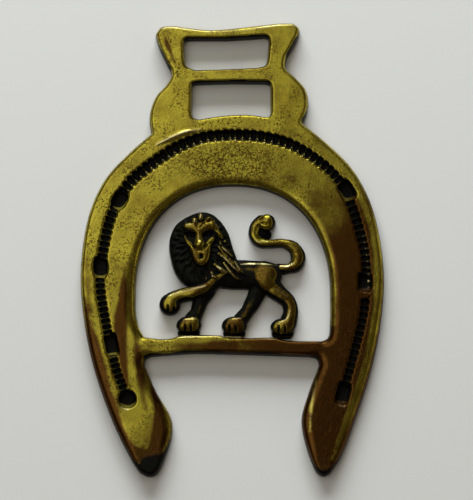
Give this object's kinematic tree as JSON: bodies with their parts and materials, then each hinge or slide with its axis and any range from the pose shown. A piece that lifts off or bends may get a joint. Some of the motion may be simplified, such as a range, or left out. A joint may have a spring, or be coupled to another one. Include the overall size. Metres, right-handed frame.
{
  "type": "horse brass",
  "caption": "Cast horseshoe-shaped harness pendant with a slotted strap hanger and a walking lion in its open centre.",
  "frame": {"origin": "centre of the outline, on the flat back", "axes": "+Y from the heels towards the strap hanger, +Z out of the decorated face, the lion faces -X"},
  "size_m": [0.06, 0.0903, 0.0047],
  "materials": {
    "brass": "aged cast brass, worn bright on raised faces and black in the recesses"
  },
  "bodies": {
    "root": {"horse_brass": "brass"}
  },
  "joints": []
}
